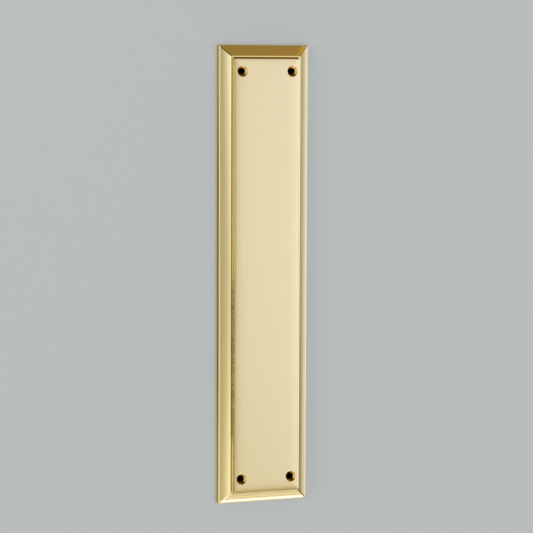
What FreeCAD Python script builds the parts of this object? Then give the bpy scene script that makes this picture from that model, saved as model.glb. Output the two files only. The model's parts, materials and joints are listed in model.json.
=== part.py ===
"""Door finger plate: one brass casting with a mitred moulded border, a raised field and a hollow back.

Millimetres. The plate stands upright as on a door: +Z runs up its length, its back lies in the XZ plane
and its front faces -Y. The origin is the centre of the back, midway between the four screw holes.
"""
import FreeCAD, Part
import math
import os

# Plate
plate_length = 305.0
plate_width = 62.5

# Border, from the outer face inwards, with its heights taken from the back
edge_height = 3.6
edge_round = 0.35
lip_width = 0.85
lip_slope = 14.0
cove_foot_slope = 28.0
cove_width = 7.0
ridge_height = 8.6
ledge_width = 1.2
ledge_fall = 0.3
ledge_round = 0.2
riser_width = 0.7
riser_height = 3.2
field_round = 0.55

# Hollow back
rim_width = 3.2
field_thickness = 3.2
hollow_setback = 1.5
hollow_round = 2.0

# Screw holes, inset from the edges of the field, in bosses that reach the door
screw_inset_side = 4.85
screw_inset_end = 8.1
screw_hole_diameter = 4.2
countersink_diameter = 7.2
countersink_angle = 82.0
boss_wall = 2.8
boss_taper = 0.6

# Worked out from the sizes above
ledge_inset = cove_width + ledge_width
field_inset = ledge_inset + riser_width
ledge_height = ridge_height - ledge_fall
field_height = ledge_height + riser_height
ceiling_height = field_height - field_thickness
ceiling_inset = field_inset + hollow_setback
border_depth = ceiling_inset + hollow_round
screw_x = plate_width / 2 - field_inset - screw_inset_side
screw_z = plate_length / 2 - field_inset - screw_inset_end

along_x = FreeCAD.Vector(1, 0, 0)
to_front = FreeCAD.Vector(0, -1, 0)


def section_point(inset, height):
    """A point of the border's section, drawn at the middle of the plate's lower end."""
    return FreeCAD.Vector(0, -height, inset - plate_length / 2)


def line(start, end):
    return Part.LineSegment(start, end).toShape()


def arc(start, middle, end):
    return Part.Arc(start, middle, end).toShape()


def rounded_corner(before, corner, after, radius):
    """Start, middle and end of the arc that rounds the corner between two straight runs."""
    to_before = (before - corner).normalize()
    to_after = (after - corner).normalize()
    half_angle = to_before.getAngle(to_after) / 2
    reach = radius / math.tan(half_angle)
    bisector = (to_before + to_after).normalize()
    middle = corner + bisector * (radius / math.sin(half_angle) - radius)
    return corner + to_before * reach, middle, corner + to_after * reach


def cove_middle(foot, ridge, foot_slope):
    """The middle of the hollow arc that leaves the foot at its slope and ends on the ridge."""
    chord = ridge - foot
    chord_slope = math.atan2(-chord.y, chord.z)
    sag = chord.Length / 2 * math.tan((chord_slope - foot_slope) / 2)
    return foot + chord / 2 + chord.cross(along_x).normalize() * sag


def border_section():
    """Closed section of the border: side, lip, cove, ledge, riser and field outside, hollow inside."""
    foot_slope = math.radians(cove_foot_slope)
    lip_angle = math.radians(lip_slope)
    half_turn = (math.pi / 2 - lip_angle) / 2
    lip_inset = edge_round * (1 - math.sin(lip_angle))
    lip_height = edge_height + edge_round * math.cos(lip_angle)
    lip_rise = (lip_width - lip_inset) * math.tan(lip_angle)
    base = section_point(0, 0)
    side_top = section_point(0, edge_height)
    edge_middle = section_point(edge_round * (1 - math.cos(half_turn)), edge_height + edge_round * math.sin(half_turn))
    lip = section_point(lip_inset, lip_height)
    foot = section_point(lip_width, lip_height + lip_rise)
    ridge = section_point(cove_width, ridge_height)
    ledge = section_point(ledge_inset, ledge_height)
    field_edge = section_point(field_inset, field_height)
    field_end = section_point(border_depth, field_height)
    ceiling_end = section_point(border_depth, ceiling_height)
    ceiling_corner = section_point(ceiling_inset, ceiling_height)
    rim = section_point(rim_width, 0)

    ledge_arc = rounded_corner(ridge, ledge, field_edge, ledge_round)
    field_arc = rounded_corner(ledge, field_edge, field_end, field_round)
    hollow_arc = rounded_corner(ceiling_end, ceiling_corner, rim, hollow_round)
    return Part.Wire([
        line(base, side_top),
        arc(side_top, edge_middle, lip),
        line(lip, foot),
        arc(foot, cove_middle(foot, ridge, foot_slope), ridge),
        line(ridge, ledge_arc[0]),
        arc(*ledge_arc),
        line(ledge_arc[2], field_arc[0]),
        arc(*field_arc),
        line(field_arc[2], field_end),
        line(field_end, ceiling_end),
        line(ceiling_end, hollow_arc[0]),
        arc(*hollow_arc),
        line(hollow_arc[2], rim),
        line(rim, base),
    ])


def border():
    """The section swept round the plate's outline, with mitred corners."""
    x = plate_width / 2
    z = plate_length / 2
    corners = [(0, -z), (x, -z), (x, z), (-x, z), (-x, -z), (0, -z)]
    outline = Part.makePolygon([FreeCAD.Vector(px, 0, pz) for px, pz in corners])
    solid = True
    frenet = False
    mitred = 1
    return outline.makePipeShell([border_section()], solid, frenet, mitred)


def field_panel():
    """The flat middle of the plate, between the four sides of the border."""
    x = plate_width / 2 - border_depth
    z = plate_length / 2 - border_depth
    return Part.makeBox(2 * x, field_thickness, 2 * z, FreeCAD.Vector(-x, -field_height, -z))


def screw_places():
    """Centres of the four screw holes, on the back."""
    return [FreeCAD.Vector(sx * screw_x, 0, sz * screw_z) for sz in (1, -1) for sx in (-1, 1)]


def screw_boss(place):
    """A tapered boss from the door up to the underside of the field."""
    tip_radius = screw_hole_diameter / 2 + boss_wall
    return Part.makeCone(tip_radius, tip_radius + boss_taper, ceiling_height, place, to_front)


def screw_hole(place):
    """The through hole and its countersink."""
    hole_radius = screw_hole_diameter / 2
    sink_radius = countersink_diameter / 2
    sink_depth = (sink_radius - hole_radius) / math.tan(math.radians(countersink_angle / 2))
    bore = Part.makeCylinder(hole_radius, field_height, place, to_front)
    sink_floor = place + to_front * (field_height - sink_depth)
    sink = Part.makeCone(hole_radius, sink_radius, sink_depth, sink_floor, to_front)
    return bore.fuse(sink)


def finger_plate():
    places = screw_places()
    body = border().fuse([field_panel()] + [screw_boss(place) for place in places])
    return body.cut([screw_hole(place) for place in places]).removeSplitter()


os.makedirs("parts", exist_ok=True)
plate = finger_plate().Solids[0]
plate.exportStep("parts/finger_plate.step")
print("valid", plate.isValid(), "closed", plate.isClosed(), "volume", round(plate.Volume / 1000, 2), "cm3")
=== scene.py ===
"""Polished brass door finger plate on a plain board, lit by soft boxes."""
import json
import math
import bmesh
import bpy
from mathutils import Matrix, Vector


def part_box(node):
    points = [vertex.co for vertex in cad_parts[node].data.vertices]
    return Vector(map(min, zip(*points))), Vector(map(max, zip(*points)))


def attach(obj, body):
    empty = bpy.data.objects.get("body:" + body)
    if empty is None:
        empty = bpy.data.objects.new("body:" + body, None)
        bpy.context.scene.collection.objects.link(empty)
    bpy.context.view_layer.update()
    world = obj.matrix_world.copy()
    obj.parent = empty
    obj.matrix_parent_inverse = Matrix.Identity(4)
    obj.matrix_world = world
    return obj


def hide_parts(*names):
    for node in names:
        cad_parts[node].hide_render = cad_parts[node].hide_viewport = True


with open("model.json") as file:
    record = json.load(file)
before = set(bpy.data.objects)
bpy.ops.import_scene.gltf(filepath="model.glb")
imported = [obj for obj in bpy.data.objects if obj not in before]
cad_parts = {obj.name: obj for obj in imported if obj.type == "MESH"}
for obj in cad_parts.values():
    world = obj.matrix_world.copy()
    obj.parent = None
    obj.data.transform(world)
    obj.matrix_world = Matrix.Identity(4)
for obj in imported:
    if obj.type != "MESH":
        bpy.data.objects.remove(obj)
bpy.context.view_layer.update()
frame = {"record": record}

# Sizes in metres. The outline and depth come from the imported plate.
MM = 0.001
plate_low, plate_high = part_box("finger_plate")
PLATE_WIDTH = plate_high.x - plate_low.x
PLATE_LENGTH = plate_high.z - plate_low.z
FIELD_HEIGHT = plate_high.y - plate_low.y

# Border, from the outer face inwards, with its heights taken from the back
EDGE_HEIGHT = 3.6 * MM
EDGE_ROUND = 0.35 * MM
LIP_WIDTH = 0.85 * MM
LIP_SLOPE = math.radians(14)
COVE_FOOT_SLOPE = math.radians(28)
COVE_WIDTH = 7.0 * MM
LEDGE_WIDTH = 1.2 * MM
LEDGE_FALL = 0.3 * MM
RISER_WIDTH = 0.7 * MM
RISER_HEIGHT = 3.2 * MM
LEDGE_INSET = COVE_WIDTH + LEDGE_WIDTH
FIELD_INSET = LEDGE_INSET + RISER_WIDTH
LEDGE_HEIGHT = FIELD_HEIGHT - RISER_HEIGHT
RIDGE_HEIGHT = LEDGE_HEIGHT + LEDGE_FALL

# Worn edges: small rounds, a bevel round the field and an upper ledge that is a little flatter
BASE_ROUND = 0.25 * MM
FOOT_ROUND = 0.12 * MM
RIDGE_ROUND = 0.22 * MM
LEDGE_ROUND = 0.2 * MM
FIELD_ROUND = 0.55 * MM
MITRE_ROUND = 0.7 * MM
BEVEL_WIDTH = 0.35 * MM
BEVEL_FALL = 0.45 * MM
BEVEL_ROUND = 0.2 * MM
BEVEL_INSET = FIELD_INSET - BEVEL_WIDTH
UPPER_LEDGE_LIFT = 0.15 * MM

# Buffing: the field falls away towards its edge, drawn by points that crowd together there
BUFF_WIDTH = 2.3 * MM
BUFF_FALL = 0.19 * MM
BUFF_START = 0.5 * MM
BUFF_REACH = 12.5 * MM
BUFF_STEPS = 16
BUFF_CROWDING = 1.6

# Hollow back
RIM_WIDTH = 3.2 * MM
FIELD_THICKNESS = 3.2 * MM
HOLLOW_SETBACK = 1.5 * MM
HOLLOW_ROUND = 2.0 * MM
CEILING_HEIGHT = FIELD_HEIGHT - FIELD_THICKNESS

# Screw holes and the bosses round them
SCREWS = frame["record"]["mounts"][0]["dims"]
SCREW_ACROSS = SCREWS["spacing_x_mm"] * MM
SCREW_ALONG = SCREWS["spacing_y_mm"] * MM
HOLE_RADIUS = SCREWS["hole_r_mm"] * MM
SINK_RADIUS = 3.6 * MM
SINK_DROP = 0.1 * MM
SINK_SLOPE = math.radians(42.5)
SINK_LIP_ROUND = 0.6 * MM
SINK_LIP_SLOPE = math.radians(15)
BORE_LIP_ROUND = 0.08 * MM
BOSS_WALL = 2.8 * MM
BOSS_TAPER = 0.6 * MM
BOSS_RADIUS = HOLE_RADIUS + BOSS_WALL

# Fineness of the mesh
ROUND_STEPS = 5
EDGE_STEPS = 6
COVE_STEPS = 16
MITRE_STEPS = 4
TURNED_STATIONS = 65
SWEEP_WELD = 0.002 * MM
PLATE_WELD = 0.001 * MM
CREASE_ANGLE = math.radians(32)

# Camera, solved from the straight lines of the photograph's 533 pixel frame
IMAGE_WIDTH = 533
FOCAL_PIXELS = 2194.8
SENSOR_WIDTH = 36.0
CAMERA_AZIMUTH = -20.211
CAMERA_ELEVATION = 5.26
CAMERA_ROLL = math.radians(-0.2)
CAMERA_TARGET = Vector((3.89 * MM, 0, 5.286 * MM))
CAMERA_DISTANCE = 1467.63 * MM

# Places of the colour sockets on a Mix node, where several share a name
MIX_AMOUNT = 0
MIX_FIRST = 6
MIX_SECOND = 7
MIX_RESULT = 2


class Value:
    """A number socket of a node tree, so that maths on it can be written as an expression."""

    def __init__(self, nodes, socket):
        self.nodes = nodes
        self.socket = socket

    def __add__(self, other):
        return self.nodes.math("ADD", self, other)

    def __radd__(self, other):
        return self.nodes.math("ADD", other, self)

    def __sub__(self, other):
        return self.nodes.math("SUBTRACT", self, other)

    def __rsub__(self, other):
        return self.nodes.math("SUBTRACT", other, self)

    def __mul__(self, other):
        return self.nodes.math("MULTIPLY", self, other)

    def __rmul__(self, other):
        return self.nodes.math("MULTIPLY", other, self)

    def __truediv__(self, other):
        return self.nodes.math("DIVIDE", self, other)

    def __rtruediv__(self, other):
        return self.nodes.math("DIVIDE", other, self)

    def __neg__(self):
        return self.nodes.math("MULTIPLY", self, -1.0)

    def __abs__(self):
        return self.nodes.math("ABSOLUTE", self)


class Nodes:
    """Adds nodes to a tree: their settings first, then the values or links of their sockets."""

    def __init__(self, tree):
        self.tree = tree
        tree.nodes.clear()

    def add(self, kind, settings=None, sockets=None):
        node = self.tree.nodes.new(kind)
        for name, value in (settings or {}).items():
            setattr(node, name, value)
        for name, value in (sockets or {}).items():
            self.feed(node.inputs[name], value)
        return node

    def feed(self, socket, value):
        if isinstance(value, Value):
            value = value.socket
        if isinstance(value, bpy.types.NodeSocket):
            self.tree.links.new(value, socket)
        else:
            socket.default_value = value

    def value(self, kind, output, settings=None, sockets=None):
        return Value(self, self.add(kind, settings, sockets).outputs[output])

    def split(self, vector):
        """The X, Y and Z of a vector."""
        parts = self.add("ShaderNodeSeparateXYZ", sockets={0: vector}).outputs
        return [Value(self, parts[axis]) for axis in "XYZ"]

    def math(self, operation, *terms):
        return self.value("ShaderNodeMath", 0, {"operation": operation}, dict(enumerate(terms)))

    def smooth(self, value, low, high, low_value=0.0, high_value=1.0):
        """A soft turn from low_value to high_value as a value goes from low to high."""
        return self.value("ShaderNodeMapRange", "Result", {"interpolation_type": "SMOOTHSTEP"}, {
            "Value": value, "From Min": low, "From Max": high, "To Min": low_value, "To Max": high_value})

    def band(self, value, start, full, fading, end):
        """1 between full and fading, falling to 0 at start and at end."""
        return self.smooth(value, start, full) * self.smooth(value, fading, end, 1.0, 0.0)

    def blend(self, amount, first, second):
        """A colour that turns from first to second as amount goes from 0 to 1."""
        mix = self.add("ShaderNodeMix", {"data_type": "RGBA"}, {MIX_AMOUNT: amount})
        for socket, colour in ((MIX_FIRST, first), (MIX_SECOND, second)):
            self.feed(mix.inputs[socket], (*colour, 1) if isinstance(colour, tuple) else colour)
        return mix.outputs[MIX_RESULT]

    def painted(self, colour, layers):
        """A colour with layers laid over it in turn, each given as its mask and its own colour."""
        for mask, layer in layers:
            colour = self.blend(mask, colour, layer)
        return colour


def add_object(name, data):
    """A new object in the scene, at the origin."""
    thing = bpy.data.objects.new(name, data)
    bpy.context.collection.objects.link(thing)
    return thing


# Outlines: lists of points, each a distance from the outer face or the axis, and a height from the back

def arc_points(start, start_slope, end, steps):
    """Points of the arc that leaves a point at a slope and reaches another."""
    chord = Vector(end) - Vector(start)
    turn = 2 * (math.atan2(chord.y, chord.x) - start_slope)
    radius = chord.length / (2 * math.sin(turn / 2))
    points = []
    for step in range(steps + 1):
        slope = start_slope + turn * step / steps
        across = radius * (math.sin(slope) - math.sin(start_slope))
        rise = radius * (math.cos(start_slope) - math.cos(slope))
        points.append(Vector((start[0] + across, start[1] + rise)))
    return points


def rounded_corner(before, corner, after, radius):
    """Points of the arc that rounds a corner between two straight runs."""
    to_before = (before - corner).normalized()
    to_after = (after - corner).normalized()
    half_angle = to_before.angle(to_after) / 2
    reach = radius / math.tan(half_angle)
    start = corner + to_before * reach
    start_slope = math.atan2(-to_before.y, -to_before.x)
    return arc_points(start, start_slope, corner + to_after * reach, ROUND_STEPS)


def rounded_outline(corners):
    """An open outline through corners given as distance, height and radius, each rounded by its radius."""
    points = [Vector(corner[:2]) for corner in corners]
    radii = [corner[2] for corner in corners]
    outline = [points[0]]
    for before, corner, after, radius in zip(points, points[1:], points[2:], radii[1:]):
        outline += rounded_corner(before, corner, after, radius) if radius else [corner]
    return outline + [points[-1]]


def buffed_field():
    """Points of the field's fall towards its edge, from the edge inwards."""
    points = []
    for step in range(1, BUFF_STEPS + 1):
        run = BUFF_START + BUFF_REACH * (step / BUFF_STEPS) ** BUFF_CROWDING
        points.append((FIELD_INSET + run, FIELD_HEIGHT - BUFF_FALL * math.exp(-run / BUFF_WIDTH), 0))
    return points


def plate_outline():
    """The plate's section from the middle of its hollow back, round its edge, to the middle of its field."""
    middle = PLATE_WIDTH / 2
    field_edge_height = FIELD_HEIGHT - BUFF_FALL
    lip_inset = EDGE_ROUND * (1 - math.sin(LIP_SLOPE))
    lip_height = EDGE_HEIGHT + EDGE_ROUND * math.cos(LIP_SLOPE)
    foot_height = lip_height + (LIP_WIDTH - lip_inset) * math.tan(LIP_SLOPE)
    edge = arc_points((0, EDGE_HEIGHT), math.pi / 2, (lip_inset, lip_height), EDGE_STEPS)
    cove = arc_points((LIP_WIDTH, foot_height), COVE_FOOT_SLOPE, (COVE_WIDTH, RIDGE_HEIGHT), COVE_STEPS)
    return rounded_outline([
        (middle, CEILING_HEIGHT, 0),
        (FIELD_INSET + HOLLOW_SETBACK, CEILING_HEIGHT, HOLLOW_ROUND),
        (RIM_WIDTH, 0, BASE_ROUND),
        (0, 0, BASE_ROUND),
        *[(point.x, point.y, 0) for point in edge],
        (LIP_WIDTH, foot_height, FOOT_ROUND),
        *[(point.x, point.y, 0) for point in cove[1:-1]],
        (COVE_WIDTH, RIDGE_HEIGHT, RIDGE_ROUND),
        (LEDGE_INSET, LEDGE_HEIGHT, LEDGE_ROUND),
        (BEVEL_INSET, field_edge_height - BEVEL_FALL, BEVEL_ROUND),
        (FIELD_INSET, field_edge_height, FIELD_ROUND),
        *buffed_field(),
        (middle, FIELD_HEIGHT, 0),
    ])


def boss_outline():
    """A boss from the door into the field, as radius and height."""
    inside = CEILING_HEIGHT + FIELD_THICKNESS / 2
    return rounded_outline([
        (0, 0, 0),
        (BOSS_RADIUS, 0, BASE_ROUND),
        (BOSS_RADIUS + BOSS_TAPER, inside, 0),
        (0, inside, 0),
    ])


def hole_outline():
    """The space of a screw hole: bore, countersink and its softened lip, as radius and height."""
    sink_top = FIELD_HEIGHT - SINK_DROP
    sink_floor = sink_top - (SINK_RADIUS - HOLE_RADIUS) * math.tan(SINK_SLOPE)
    beyond = 2 * MM
    return rounded_outline([
        (0, -beyond, 0),
        (HOLE_RADIUS, -beyond, 0),
        (HOLE_RADIUS, sink_floor, BORE_LIP_ROUND),
        (SINK_RADIUS, sink_top, SINK_LIP_ROUND),
        (SINK_RADIUS + beyond, sink_top + beyond * math.tan(SINK_LIP_SLOPE), 0),
        (SINK_RADIUS + beyond, FIELD_HEIGHT + beyond, 0),
        (0, FIELD_HEIGHT + beyond, 0),
    ])


def outline_object(name, outline):
    """An outline as a chain of mesh edges, for a node tree to read."""
    points = [(point.x, point.y, 0) for point in outline]
    edges = [(i, i + 1) for i in range(len(points) - 1)]
    mesh = bpy.data.meshes.new(name)
    mesh.from_pydata(points, edges, [])
    return add_object(name, mesh)


# Node trees that make the plate

def sweep(nodes, outline, point_count, stations, place):
    """A sheet of stations by outline points, each put where place says from its station and outline point."""
    sheet = nodes.add("GeometryNodeMeshGrid", sockets={"Vertices X": stations, "Vertices Y": point_count})
    index = nodes.value("GeometryNodeInputIndex", "Index")
    station = nodes.math("FLOOR", (index + 0.5) / point_count)
    row = index - station * point_count
    position = nodes.add("GeometryNodeInputPosition")
    drawn = nodes.add("GeometryNodeSampleIndex", {"data_type": "FLOAT_VECTOR"}, {
        "Geometry": outline, "Value": position.outputs[0], "Index": row})
    distance, height, _ = nodes.split(drawn.outputs["Value"])
    x, y, z = place(station, distance, height)
    spot = nodes.add("ShaderNodeCombineXYZ", sockets={"X": x, "Y": y, "Z": z})
    moved = nodes.add("GeometryNodeSetPosition", sockets={
        "Geometry": sheet.outputs["Mesh"], "Position": spot.outputs[0]})
    weld = nodes.add("GeometryNodeMergeByDistance", sockets={
        "Geometry": moved.outputs[0], "Distance": SWEEP_WELD})
    return weld.outputs[0]


def ledge_lift(nodes, inset, angle):
    """How much the upper ledge is raised: most at the foot of its riser, and none on the other sides."""
    to_riser = (inset - COVE_WIDTH) / LEDGE_WIDTH
    to_field = (FIELD_INSET - inset) / RISER_WIDTH
    share = nodes.math("MAXIMUM", nodes.math("MINIMUM", to_riser, to_field), 0)
    upper_side = nodes.math("MAXIMUM", nodes.math("SINE", angle), 0)
    return UPPER_LEDGE_LIFT * upper_side * share


def corner_place(nodes, width, length, mitre_round):
    """Places stations round a rectangle whose corners have a small round."""
    quarter = math.pi / 2
    corner_stations = MITRE_STEPS + 1

    def place(station, inset, height):
        corner = nodes.math("FLOOR", (station + 0.5) / corner_stations)
        part = (station - corner * corner_stations) / MITRE_STEPS
        angle = (corner + part) * quarter
        middle_angle = (corner + 0.5) * quarter
        side_x = nodes.math("SIGN", nodes.math("COSINE", middle_angle))
        side_z = nodes.math("SIGN", nodes.math("SINE", middle_angle))
        half_width = width / 2 - inset
        half_length = length / 2 - inset
        radius = nodes.math("MINIMUM", mitre_round, half_width)
        x = side_x * (half_width - radius) + radius * nodes.math("COSINE", angle)
        z = side_z * (half_length - radius) + radius * nodes.math("SINE", angle)
        return x, -(height + ledge_lift(nodes, inset, angle)), z

    return place


def turned_place(nodes):
    """Places stations round an axis along Y."""

    def place(station, radius, height):
        angle = station * (2 * math.pi / (TURNED_STATIONS - 1))
        return radius * nodes.math("COSINE", angle), -height, radius * nodes.math("SINE", angle)

    return place


def plate_tree(outline_counts, metal):
    """The whole plate: its section swept round with mitred corners, bosses added and screw holes cut."""
    tree = bpy.data.node_groups.new("mitred_plate", "GeometryNodeTree")
    nodes = Nodes(tree)
    plate_count, boss_count, hole_count = outline_counts
    interface = tree.interface
    interface.new_socket("Section", in_out="INPUT", socket_type="NodeSocketGeometry")
    for name in ("Width", "Length", "Mitre Round", "Screws Across", "Screws Along"):
        interface.new_socket(name, in_out="INPUT", socket_type="NodeSocketFloat")
    for name in ("Boss Section", "Hole Section"):
        interface.new_socket(name, in_out="INPUT", socket_type="NodeSocketObject")
    interface.new_socket("Plate", in_out="OUTPUT", socket_type="NodeSocketGeometry")
    given = nodes.add("NodeGroupInput").outputs

    rectangle = [Value(nodes, given[name]) for name in ("Width", "Length", "Mitre Round")]
    stations = 4 * (MITRE_STEPS + 1) + 1
    body = sweep(nodes, given["Section"], plate_count, stations, corner_place(nodes, *rectangle))

    places = nodes.add("GeometryNodeMeshGrid", sockets={
        "Size X": given["Screws Across"], "Size Y": given["Screws Along"], "Vertices X": 2, "Vertices Y": 2})
    upright = nodes.add("GeometryNodeTransform", sockets={
        "Geometry": places.outputs["Mesh"], "Rotation": (math.pi / 2, 0, 0)})

    def at_screws(section, point_count):
        drawn = nodes.add("GeometryNodeObjectInfo", sockets={"Object": section})
        turned = sweep(nodes, drawn.outputs["Geometry"], point_count, TURNED_STATIONS, turned_place(nodes))
        copies = nodes.add("GeometryNodeInstanceOnPoints", sockets={
            "Points": upright.outputs[0], "Instance": turned})
        return nodes.add("GeometryNodeRealizeInstances", sockets={"Geometry": copies.outputs[0]}).outputs[0]

    bosses = at_screws(given["Boss Section"], boss_count)
    holes = at_screws(given["Hole Section"], hole_count)
    with_bosses = nodes.add("GeometryNodeMeshBoolean", {"operation": "UNION", "solver": "EXACT"})
    for solid in (body, bosses):
        nodes.feed(with_bosses.inputs["Mesh 2"], solid)
    drilled = nodes.add("GeometryNodeMeshBoolean", {"operation": "DIFFERENCE", "solver": "EXACT"}, {
        "Mesh 1": with_bosses.outputs["Mesh"], "Mesh 2": holes})
    single = nodes.add("GeometryNodeRealizeInstances", sockets={"Geometry": drilled.outputs["Mesh"]})
    finished = nodes.add("GeometryNodeSetMaterial", sockets={
        "Geometry": single.outputs[0], "Material": metal})
    nodes.add("NodeGroupOutput", sockets={"Plate": finished.outputs[0]})
    return tree


def set_inputs(modifier, values):
    """Sets a node modifier's inputs by the identifiers of their named sockets."""
    for item in modifier.node_group.interface.items_tree:
        if item.in_out == "INPUT" and item.name in values:
            modifier[item.identifier] = values[item.name]


def plain_mesh(piece):
    """Turns an object's evaluated modifiers into its own mesh."""
    seen = bpy.context.evaluated_depsgraph_get()
    evaluated = piece.evaluated_get(seen)
    mesh = bpy.data.meshes.new_from_object(evaluated, preserve_all_data_layers=True, depsgraph=seen)
    piece.modifiers.clear()
    piece.data = mesh
    return mesh


def close_and_smooth(mesh):
    """Welds the mesh's seams, turns its faces outwards and smooths all but its creases."""
    surface = bmesh.new()
    surface.from_mesh(mesh)
    bmesh.ops.remove_doubles(surface, verts=surface.verts, dist=PLATE_WELD)
    bmesh.ops.recalc_face_normals(surface, faces=surface.faces)
    for face in surface.faces:
        face.smooth = True
    surface.to_mesh(mesh)
    surface.free()
    mesh.set_sharp_from_angle(angle=CREASE_ANGLE)


def make_plate(metal):
    """The plate as one closed mesh with soft rounds and crisp mitres."""
    outlines = [plate_outline(), boss_outline(), hole_outline()]
    names = ("brass_finger_plate", "boss_section", "hole_section")
    plate, boss, hole = [outline_object(name, outline) for name, outline in zip(names, outlines)]
    modifier = plate.modifiers.new("mitred_plate", "NODES")
    modifier.node_group = plate_tree([len(outline) for outline in outlines], metal)
    set_inputs(modifier, {
        "Width": PLATE_WIDTH, "Length": PLATE_LENGTH, "Mitre Round": MITRE_ROUND,
        "Screws Across": SCREW_ACROSS, "Screws Along": SCREW_ALONG,
        "Boss Section": boss, "Hole Section": hole})
    bpy.context.view_layer.update()
    mesh = plain_mesh(plate)
    for helper in (boss, hole):
        bpy.data.objects.remove(helper)
    close_and_smooth(mesh)
    weighted = plate.modifiers.new("flat_faces_lead", "WEIGHTED_NORMAL")
    weighted.keep_sharp = True
    plain_mesh(plate)
    return plate


def new_material(name):
    material = bpy.data.materials.new(name)
    material.use_nodes = True
    return material, Nodes(material.node_tree)


# Brass: its colours, clean, tarnished, and with painted light and shade on its border and holes. A pair holds
# what a colour turns from and to.
CLEAN_BRASS = (0.90, 0.77, 0.43)
GLANCING_BRASS = (0.88, 0.72, 0.42, 1)
# Left groove: mottled tarnishing with painted shade over it, lighter in the upper half.
LEFT_GROOVE_TARNISH_AND_SHADE = ((0.25, 0.16, 0.038), (0.51, 0.38, 0.115))
# Left riser: a painted highlight, brightest in the lower half.
LEFT_RISER_HIGHLIGHT = ((1.0, 0.93, 0.55), (0.80, 0.69, 0.30))
# Left bevel: painted shade, deepest in the lower half.
LEFT_BEVEL_SHADE = ((0.41, 0.30, 0.10), (0.70, 0.57, 0.24))
# Lower cove: painted stripes of reflection, from darker to brighter than clean brass.
LOWER_COVE_REFLECTIONS = ((0.76, 0.66, 0.32), (1.0, 0.94, 0.64))
# Lower groove: painted shade.
LOWER_GROOVE_SHADE = (0.64, 0.53, 0.22)
# Right cove: painted shade.
RIGHT_COVE_SHADE = (0.62, 0.53, 0.29)
# Upper ledge: a painted highlight.
UPPER_LEDGE_HIGHLIGHT = (0.95, 0.80, 0.31)
# Upper groove: painted shade, dark brown.
UPPER_GROOVE_SHADE = (0.30, 0.12, 0.002)
# Field edge: a line of painted shade.
FIELD_EDGE_SHADE = (0.56, 0.46, 0.22)
# Right mitres: a darker line.
RIGHT_MITRE_DARK = (0.20, 0.115, 0.02)
# Outer face: painted shade, deepest along the middle.
OUTER_SIDE_SHADE = ((0.40, 0.335, 0.11), (0.72, 0.60, 0.28))
# Countersinks: painted shade, deepest towards the lower left.
COUNTERSINK_SHADE = ((0.69, 0.47, 0.165), (0.38, 0.19, 0.045))
ROUGH_BACK = (0.46, 0.33, 0.15)
# Bores: painted shade, near black.
BORE_SHADE = (0.03, 0.02, 0.01)

# Brass: how rough each part is, and the size and depth of the pits in its rough parts
POLISH_ROUGHNESS = 0.17
POLISH_UNEVENNESS = 0.03
POLISH_PATCH = 14 * MM
GROOVE_ROUGHNESS = 0.05
BORE_ROUGHNESS = 0.4
BACK_ROUGHNESS = 0.3
PIT_SIZE = 0.9 * MM
GROOVE_PITS = 0.02 * MM
BACK_PITS = 0.06 * MM
TARNISH_SPOT = 1.6 * MM

# Brass: painted stripes of reflection in the lower cove, and the slight turn of the upper cove at its right
REFLECTION_STRIPE_INSET = 4.05 * MM
REFLECTION_STRIPE_PITCH = 1.45 * MM
COVE_TURN_REACH = 6.0 * MM
COVE_TURN_SLOPE = 0.12

# Brass: how far a mask takes to fade at a mitre, at the plate's middle and from its lower to its upper half
MITRE_FADE = 0.4 * MM
MIDDLE_FADE = 10 * MM
HALVES_FADE = 25 * MM


class PlatePlace:
    """Where a point of the plate lies, as values and masks from which its finish is worked out."""

    def __init__(self, nodes):
        self.nodes = nodes
        self.point = nodes.add("ShaderNodeTexCoord").outputs["Object"]
        self.sideways, _, self.height = nodes.split(self.point)
        self.across = abs(self.sideways)
        self.along = abs(self.height)
        self.side_inset = PLATE_WIDTH / 2 - self.across
        self.end_inset = PLATE_LENGTH / 2 - self.along
        self.inset = nodes.math("MINIMUM", self.side_inset, self.end_inset)
        self.past_mitre = self.side_inset - self.end_inset

        on_side = nodes.smooth(-self.past_mitre, 0, MITRE_FADE)
        on_end = nodes.smooth(self.past_mitre, 0, MITRE_FADE)
        self.right_half = nodes.smooth(self.sideways, 0, MIDDLE_FADE)
        self.upper_half = nodes.smooth(self.height, -HALVES_FADE, HALVES_FADE)
        self.left_side = nodes.smooth(self.sideways, 0, -MIDDLE_FADE) * on_side
        self.right_side = self.right_half * on_side
        self.lower_end = nodes.smooth(self.height, 0, -MIDDLE_FADE) * on_end
        self.upper_end = nodes.smooth(self.height, 0, MIDDLE_FADE) * on_end

        hole_x = self.across - SCREW_ACROSS / 2
        hole_z = self.along - SCREW_ALONG / 2
        self.from_hole = nodes.math("SQRT", hole_x * hole_x + hole_z * hole_z)
        normal = nodes.add("ShaderNodeNewGeometry").outputs["Normal"]
        _, self.facing_back, _ = nodes.split(normal)

    def strip(self, start, fade_in, end, fade_out):
        """1 along a strip of the border between two insets; it fades in and out over the mm past each."""
        limits = [start + past * MM for past in fade_in] + [end + past * MM for past in fade_out]
        return self.nodes.band(self.inset, *limits)

    def grain(self, size):
        """Uneven patches of about a size, from 0 to 1."""
        return self.nodes.value("ShaderNodeTexNoise", "Fac", sockets={
            "Vector": self.point, "Scale": 1 / size, "Detail": 2.0, "Roughness": 0.55})


def left_groove(nodes, at):
    """How faint the left groove's tarnishing and painted shade are, and their mask, which is narrower where
    they are fainter.
    """
    foot_fading_share = 0.55
    widest_end = LEDGE_INSET - 0.1 * MM
    drawn_back = 0.6 * MM
    near_foot = nodes.smooth(at.height, -95 * MM, -120 * MM)
    fainter_groove = nodes.math("MAXIMUM", at.upper_half, foot_fading_share * near_foot)
    groove_dark_end = widest_end - drawn_back * fainter_groove
    groove = at.left_side * at.strip(COVE_WIDTH, (-0.05, 0.1), groove_dark_end, (0, 0.25))
    return fainter_groove, groove


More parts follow.
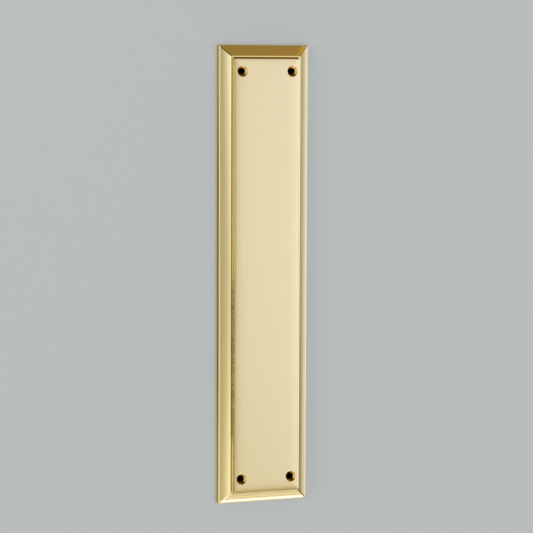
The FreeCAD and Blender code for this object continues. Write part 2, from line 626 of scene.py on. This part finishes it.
def left_layers(nodes, at, fainter_groove, groove):
    """Mottled tarnishing under painted shade in the left groove, a painted highlight on its riser and painted
    shade on its bevel, which differ from half to half.
    """
    mottled_share = 0.3
    mottle = nodes.smooth(at.grain(TARNISH_SPOT), 0.35, 0.65)
    groove_tarnish_and_shade = groove * ((1 - mottled_share) + mottled_share * mottle)
    # Painted highlight on the left riser.
    riser = at.left_side * at.strip(LEDGE_INSET, (-0.1, 0), BEVEL_INSET, (-0.1, 0))
    # Painted shade on the left bevel.
    bevel = at.left_side * at.strip(BEVEL_INSET, (-0.1, 0), FIELD_INSET, (-0.2, -0.1))
    return [
        (groove_tarnish_and_shade, nodes.blend(fainter_groove, *LEFT_GROOVE_TARNISH_AND_SHADE)),
        (riser, nodes.blend(at.upper_half, *LEFT_RISER_HIGHLIGHT)),
        (bevel, nodes.blend(at.upper_half, *LEFT_BEVEL_SHADE)),
    ]


def lower_layers(nodes, at):
    """Painted stripes of reflection along the lower cove, and painted shade in the lower groove."""
    turn = (at.inset - REFLECTION_STRIPE_INSET) * (2 * math.pi / REFLECTION_STRIPE_PITCH)
    reflection_stripe = 0.5 + 0.5 * nodes.math("COSINE", turn)
    cove = at.lower_end * at.strip(0, (2.8, 3.1), 0, (5.8, 6.2))
    groove = at.lower_end * at.strip(COVE_WIDTH, (0.1, 0.5), LEDGE_INSET, (0, 0.2))
    return [(cove, nodes.blend(reflection_stripe, *LOWER_COVE_REFLECTIONS)), (groove, LOWER_GROOVE_SHADE)]


def right_cove_layer(nodes, at):
    """Painted shade on the right cove, deeper towards its lower end."""
    lower = nodes.smooth(at.height, 60 * MM, -140 * MM)
    cove = at.strip(0, (3.2, 5.6), COVE_WIDTH, (-0.1, 0.1))
    return at.right_side * lower * cove, RIGHT_COVE_SHADE


def upper_layers(at):
    """A painted highlight on the upper ledge and painted shade beyond it."""
    ledge = at.upper_end * at.strip(COVE_WIDTH, (-0.01, 0), LEDGE_INSET, (0, 0.3))
    groove = at.upper_end * at.strip(LEDGE_INSET, (-0.45, -0.32), FIELD_INSET, (-0.15, 0.1))
    return [(ledge, UPPER_LEDGE_HIGHLIGHT), (groove, UPPER_GROOVE_SHADE)]


def field_edge_layer(nodes, at):
    """A line of painted shade along the field's left and lower edges."""
    near_inset = nodes.math("MINIMUM", PLATE_WIDTH / 2 + at.sideways, PLATE_LENGTH / 2 + at.height)
    on_field = nodes.smooth(at.inset, FIELD_INSET - 0.3 * MM, FIELD_INSET - 0.1 * MM)
    line = nodes.band(near_inset, FIELD_INSET - 0.2 * MM, FIELD_INSET - 0.1 * MM,
                      FIELD_INSET + 0.3 * MM, FIELD_INSET + 0.6 * MM)
    return on_field * line, FIELD_EDGE_SHADE


def right_mitre_layer(nodes, at):
    """A darker line along the right mitres, fainter at the upper one."""
    line_place = 0.2 * MM
    lower_amount = 1.0
    upper_amount = 0.55
    line = nodes.smooth(abs(at.past_mitre - line_place), 0.7 * MM, 0.3 * MM)
    on_cove = at.strip(0, (0.4, 0.9), COVE_WIDTH, (0, 0.5))
    amount = nodes.smooth(at.height, -100 * MM, 100 * MM, lower_amount, upper_amount)
    return at.right_half * line * on_cove * amount, RIGHT_MITRE_DARK


def outer_side_layer(nodes, at):
    """The plate's outer face, in painted shade that is deeper along the middle of its length."""
    side = nodes.smooth(at.inset, 0.04 * MM, 0.14 * MM, 1.0, 0.0)
    near_end = nodes.smooth(at.along, 60 * MM, 140 * MM)
    return side, nodes.blend(near_end, *OUTER_SIDE_SHADE)


def countersink_layer(nodes, at):
    """Countersinks in painted shade, deeper towards their lower left."""
    unshaded_lip = 0.35 * MM
    shade_reach = 2.2 * MM
    upward_share = 0.8
    rightward_share = 0.6
    sink = nodes.smooth(at.from_hole, SINK_RADIUS - unshaded_lip, SINK_RADIUS, 1.0, 0.0)
    hole_x = at.sideways - nodes.math("SIGN", at.sideways) * (SCREW_ACROSS / 2)
    hole_z = at.height - nodes.math("SIGN", at.height) * (SCREW_ALONG / 2)
    up_right = hole_z * upward_share + hole_x * rightward_share
    return sink, nodes.blend(nodes.smooth(up_right, 0, -shade_reach), *COUNTERSINK_SHADE)


def cove_turn(nodes, at):
    """The height of a slight turn of the upper cove beside its right mitre."""
    cove = at.strip(LIP_WIDTH, (0, 0.3), COVE_WIDTH, (-0.4, -0.1))
    near_mitre = nodes.math("MAXIMUM", COVE_TURN_REACH - at.past_mitre, 0)
    curve = near_mitre * near_mitre * (-COVE_TURN_SLOPE / (2 * COVE_TURN_REACH))
    return at.upper_end * at.right_half * cove * curve


def polished_brass():
    """Polished brass: clear on the field and coves, with painted light and shade along its border and in its
    countersinks and bores, mottled tarnishing in the left groove, dull on the back.
    """
    material, nodes = new_material("polished_brass")
    at = PlatePlace(nodes)
    fainter_groove, groove = left_groove(nodes, at)
    back = nodes.smooth(at.facing_back, 0.02, 0.06)
    bore = nodes.smooth(at.from_hole, HOLE_RADIUS, HOLE_RADIUS + 0.1 * MM, 1.0, 0.0)
    colour = nodes.painted(CLEAN_BRASS, [
        *left_layers(nodes, at, fainter_groove, groove),
        *lower_layers(nodes, at),
        right_cove_layer(nodes, at),
        *upper_layers(at),
        field_edge_layer(nodes, at),
        right_mitre_layer(nodes, at),
        outer_side_layer(nodes, at),
        countersink_layer(nodes, at),
        (back, ROUGH_BACK),
        # painted shade in the bores
        (bore, BORE_SHADE),
    ])
    roughness = POLISH_ROUGHNESS + POLISH_UNEVENNESS * at.grain(POLISH_PATCH)
    roughness = roughness + groove * GROOVE_ROUGHNESS + bore * BORE_ROUGHNESS + back * BACK_ROUGHNESS
    pits = (groove * GROOVE_PITS + back * BACK_PITS) * at.grain(PIT_SIZE)
    relief = nodes.add("ShaderNodeBump", sockets={
        "Strength": 1.0, "Distance": 1.0, "Height": cove_turn(nodes, at) + pits})
    shader = nodes.add("ShaderNodeBsdfPrincipled", sockets={
        "Base Color": colour, "Metallic": 1.0, "Roughness": roughness, "Specular Tint": GLANCING_BRASS,
        "Normal": relief.outputs[0]})
    nodes.add("ShaderNodeOutputMaterial", sockets={"Surface": shader.outputs[0]})
    return material


# Paints of the stage
BOARD_GREY = (0.459, 0.491, 0.506)
# Brass-coloured reflected light painted on the board beside the plate.
BOARD_GREY_WITH_BRASS_BOUNCE = (0.98 * BOARD_GREY[0], 0.95 * BOARD_GREY[1], 0.74 * BOARD_GREY[2])
BRASS_BOUNCE_REACH = 2.2 * MM
BOARD_EVENNESS = 0.55
FLOOR_PALE = (0.82, 0.80, 0.76)
# Near-black paint of the discs behind the screw holes: painted shade.
HOLE_SHADE = (0.03, 0.025, 0.02)


def matt(nodes, colour):
    return nodes.add("ShaderNodeBsdfPrincipled", sockets={
        "Base Color": colour, "Roughness": 1.0, "Specular IOR Level": 0.0}).outputs[0]


def show_front_only(nodes, paint):
    """Ends a material with a paint that shows only from its front."""
    clear = nodes.add("ShaderNodeBsdfTransparent")
    behind = nodes.value("ShaderNodeNewGeometry", "Backfacing")
    both = nodes.add("ShaderNodeMixShader", sockets={0: behind, 1: paint, 2: clear.outputs[0]})
    nodes.add("ShaderNodeOutputMaterial", sockets={"Surface": both.outputs[0]})


def plain_paint(name, colour):
    """Matt paint of one colour."""
    material, nodes = new_material(name)
    show_front_only(nodes, matt(nodes, (*colour, 1)))
    return material


def board_paint():
    """Matt grey with painted brass-coloured reflected light beside the brass, and a share of even brightness
    of its own when looked at.
    """
    material, nodes = new_material("board_paint")
    sideways, _, height = nodes.split(nodes.add("ShaderNodeTexCoord").outputs["Object"])
    past_side = abs(sideways) - PLATE_WIDTH / 2
    past_end = abs(height) - PLATE_LENGTH / 2
    by_plate = nodes.smooth(nodes.math("MAXIMUM", past_side, past_end), BRASS_BOUNCE_REACH, 0)
    colour = nodes.blend(by_plate, BOARD_GREY, BOARD_GREY_WITH_BRASS_BOUNCE)
    ray = nodes.add("ShaderNodeLightPath").outputs
    seen = nodes.math("MAXIMUM", Value(nodes, ray["Is Camera Ray"]), Value(nodes, ray["Is Glossy Ray"]))
    seen = nodes.math("MAXIMUM", seen, Value(nodes, ray["Is Transmission Ray"]))
    even = nodes.add("ShaderNodeBsdfPrincipled", sockets={
        "Base Color": (0, 0, 0, 1), "Specular IOR Level": 0.0,
        "Emission Color": colour, "Emission Strength": 1.0})
    paint = nodes.add("ShaderNodeMixShader", sockets={
        0: seen * BOARD_EVENNESS, 1: matt(nodes, colour), 2: even.outputs[0]})
    show_front_only(nodes, paint.outputs[0])
    return material


# Stage
BOARD_LEFT = -0.182
BOARD_RIGHT = 0.209
BOARD_LOW = -0.1925
BOARD_HIGH = 0.1875
BOARD_GAP = 0.3 * MM
BOARD_COVER = 2 * MM
FLOOR_DROP = 1.35
FLOOR_REACH = 2.5


def stage_sheet(name, points, faces, material):
    mesh = bpy.data.meshes.new(name)
    mesh.from_pydata(points, [], faces)
    mesh.materials.append(material)
    sheet = add_object(name, mesh)


def upright_corners(left, right, low, high):
    """Corners of a rectangle in the board's plane."""
    return [(x, BOARD_GAP, z) for x, z in ((left, low), (right, low), (right, high), (left, high))]


def make_board():
    """A board at the plate's back, open behind the plate so that its hollow gets light from behind."""
    x = PLATE_WIDTH / 2 - BOARD_COVER
    z = PLATE_LENGTH / 2 - BOARD_COVER
    outer = upright_corners(BOARD_LEFT, BOARD_RIGHT, BOARD_LOW, BOARD_HIGH)
    inner = upright_corners(-x, x, -z, z)
    faces = [(i, (i + 1) % 4, 4 + (i + 1) % 4, 4 + i) for i in range(4)]
    stage_sheet("board", outer + inner, faces, board_paint())


def make_shade_behind_holes():
    """A near-black disc of painted shade behind each screw hole, as wide as the tip of its boss."""
    sides = 24
    centres = [(sx * SCREW_ACROSS / 2, sz * SCREW_ALONG / 2) for sx in (-1, 1) for sz in (-1, 1)]
    turns = [2 * math.pi * i / sides for i in range(sides)]
    points = [
        (x + BOSS_RADIUS * math.cos(turn), BOARD_GAP, z + BOSS_RADIUS * math.sin(turn))
        for x, z in centres for turn in turns]
    discs = [tuple(range(start, start + sides)) for start in range(0, len(points), sides)]
    stage_sheet("door_behind_holes", points, discs, plain_paint("hole_shade_paint", HOLE_SHADE))


def make_floor():
    """A pale floor, a door handle's height below the plate."""
    signs = ((-1, -1), (1, -1), (1, 1), (-1, 1))
    corners = [(sx * FLOOR_REACH, sy * FLOOR_REACH, -FLOOR_DROP) for sx, sy in signs]
    stage_sheet("floor", corners, [(0, 1, 2, 3)], plain_paint("floor_paint", FLOOR_PALE))


# Lamps: strips low below the plate, which its border mirrors, and boxes for the board, which nothing mirrors
STRIP_RIGHT = 0.465
STRIP_HEIGHT = -1.30
STRIP_LENGTH = 1.5
BOX_DISTANCE = 3.0
BOX_SIZE = 1.0
WHITE = (1.0, 1.0, 1.0)
COOL_WHITE = (0.97, 1.0, 1.32)


def direction(azimuth, elevation):
    """Unit vector from the plate: azimuth 0 is straight out of its front and positive is to the right."""
    a = math.radians(azimuth)
    e = math.radians(elevation)
    return Vector((math.sin(a) * math.cos(e), -math.cos(a) * math.cos(e), math.sin(e)))


def soft_box(name, place, aim, width, height, radiance):
    """A rectangular lamp that looks as bright as its radiance says."""
    lamp = bpy.data.lights.new(name, "AREA")
    lamp.shape = "RECTANGLE"
    lamp.size = width
    lamp.size_y = height
    lamp.energy = radiance * math.pi * width * height
    box = add_object(name, lamp)
    box.location = place
    box.rotation_mode = "QUATERNION"
    box.rotation_quaternion = (Vector(place) - Vector(aim)).to_track_quat("Z", "Y")
    box.visible_camera = False
    return box


def make_lamps():
    """Strips, as name, place along Y, width, radiance and colour, and boxes, as name, angles and radiance."""
    strips = (
        ("low_box", -0.54, 0.36, 2.4, COOL_WHITE),
        ("low_back_box", -0.113, 0.06, 0.75, WHITE),
        ("low_rear_box", 0.05, 0.08, 0.40, WHITE),
    )
    boxes = (("key_box", 12, 1, 6.2), ("top_box", 0, 55, 5.0), ("left_box", -62, 4, 9.0))
    for name, y, width, radiance, colour in strips:
        place = (STRIP_RIGHT, y, STRIP_HEIGHT)
        straight_up = (STRIP_RIGHT, y, 0)
        strip = soft_box(name, place, straight_up, STRIP_LENGTH, width, radiance)
        strip.data.color = colour
    for name, azimuth, elevation, radiance in boxes:
        place = direction(azimuth, elevation) * BOX_DISTANCE
        box = soft_box(name, place, (0, 0, 0), BOX_SIZE, BOX_SIZE, radiance)
        box.visible_glossy = False


# Room that the brass mirrors, by angles in degrees. A pair holds what a light turns from and to.
# The middle of the plate mirrors the middle elevation.
DIM_ROOM = ((0.50, 0.446, 0.343), (0.545, 0.495, 0.325))
RIGHT_WALL = (1.06, 1.085, 1.36)
FRONT_WINDOW = ((1.22, 1.24, 1.45), (1.40, 1.45, 1.75))
LEFT_WINDOW = ((1.40, 1.52, 1.90), (1.38, 1.43, 1.38))
LOW_GLOW = (1.45, 1.38, 1.10)
CEILING = ((0.06, 0.035, 0.01), (0.335, 0.23, 0.082))
CEILING_LEFT = (0.80, 0.68, 0.50)
CEILING_RIGHT = (0.64, 0.45, 0.06)
MIDDLE_ELEVATION = -5.4


def right_wall(nodes, azimuth, elevation):
    """A bright wall to the right, with a softer near edge higher up."""
    far_fade = 0.85
    higher = nodes.smooth(elevation, -6, -1.5)
    edge_start = 8.5 - 7 * higher
    edge_full = 26 + 3.5 * higher
    near_edge = nodes.smooth(azimuth, edge_start, edge_full)
    far_edge = nodes.smooth(azimuth, 66, 100)
    above_floor = nodes.smooth(elevation, -22, -6.5)
    return (near_edge - far_fade * far_edge) * above_floor, RIGHT_WALL


def front_window(nodes, azimuth, from_middle):
    """A window ahead, dimmer where the middle of the plate mirrors it."""
    window = nodes.band(azimuth, -13, -7, 2, 8)
    return window, nodes.blend(nodes.smooth(from_middle, 2, 6), *FRONT_WINDOW)


def left_window(nodes, azimuth, elevation, from_middle):
    """A window far to the left that comes nearer towards the plate's ends."""
    edge_slant = 4
    nearest = 26
    nearer = nodes.math("MINIMUM", edge_slant * from_middle, nearest)
    window = nodes.smooth(azimuth - nearer, -59, -103)
    return window, nodes.blend(nodes.smooth(elevation, -3.5, -6.5), *LEFT_WINDOW)


def low_glow(nodes, azimuth, elevation):
    """A warm glow ahead, below the plate."""
    below = nodes.band(-elevation, 21, 26, 40, 48)
    ahead = nodes.band(azimuth, -20, 10, 40, 60)
    return below * ahead, LOW_GLOW


def ceiling(nodes, azimuth, elevation, rightwards):
    """A dark warm ceiling, lighter to the left and to the right."""
    ahead = nodes.blend(nodes.smooth(azimuth, -20, 40), *CEILING)
    colour = nodes.painted(ahead, [
        (nodes.smooth(azimuth, -49, -57), CEILING_LEFT),
        (nodes.smooth(rightwards, 0.40, 0.56), CEILING_RIGHT),
    ])
    return nodes.smooth(elevation, -2, 29), colour


def make_room():
    """The world: a warm dim room, windows ahead and to the left, a bright right wall and a dark ceiling."""
    world = bpy.data.worlds.new("room")
    bpy.context.scene.world = world
    world.use_nodes = True
    nodes = Nodes(world.node_tree)
    x, y, z = nodes.split(nodes.add("ShaderNodeTexCoord").outputs["Generated"])
    degrees = 180 / math.pi
    azimuth = nodes.math("ARCTAN2", x, -y) * degrees
    elevation = nodes.math("ARCSINE", z) * degrees
    from_middle = abs(elevation - MIDDLE_ELEVATION)
    dim = nodes.blend(nodes.smooth(elevation, -5.5, -11), *DIM_ROOM)
    brightness = nodes.painted(dim, [
        right_wall(nodes, azimuth, elevation),
        front_window(nodes, azimuth, from_middle),
        left_window(nodes, azimuth, elevation, from_middle),
        low_glow(nodes, azimuth, elevation),
        ceiling(nodes, azimuth, elevation, x),
    ])
    glow = nodes.add("ShaderNodeBackground", sockets={"Color": brightness, "Strength": 1.0})
    nodes.add("ShaderNodeOutputWorld", sockets={"Surface": glow.outputs[0]})


def make_camera():
    """The photograph's view: from the left of the plate and a little above."""
    forward = -direction(CAMERA_AZIMUTH, CAMERA_ELEVATION)
    level_right = forward.cross(Vector((0, 0, 1))).normalized()
    level_down = forward.cross(level_right)
    right = level_right * math.cos(CAMERA_ROLL) + level_down * math.sin(CAMERA_ROLL)
    down = level_down * math.cos(CAMERA_ROLL) - level_right * math.sin(CAMERA_ROLL)
    lens = bpy.data.cameras.new("camera")
    lens.sensor_fit = "HORIZONTAL"
    lens.sensor_width = SENSOR_WIDTH
    lens.lens = SENSOR_WIDTH * FOCAL_PIXELS / IMAGE_WIDTH
    camera = add_object("camera", lens)
    place = Matrix((right, -down, -forward)).transposed().to_4x4()
    place.translation = CAMERA_TARGET - forward * CAMERA_DISTANCE
    camera.matrix_world = place
    bpy.context.scene.camera = camera


bpy.context.scene.view_settings.view_transform = "Standard"
make_camera()
plate = make_plate(polished_brass())
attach(plate, "root")
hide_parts("finger_plate")
make_board()
make_shade_behind_holes()
make_floor()
make_lamps()
make_room()
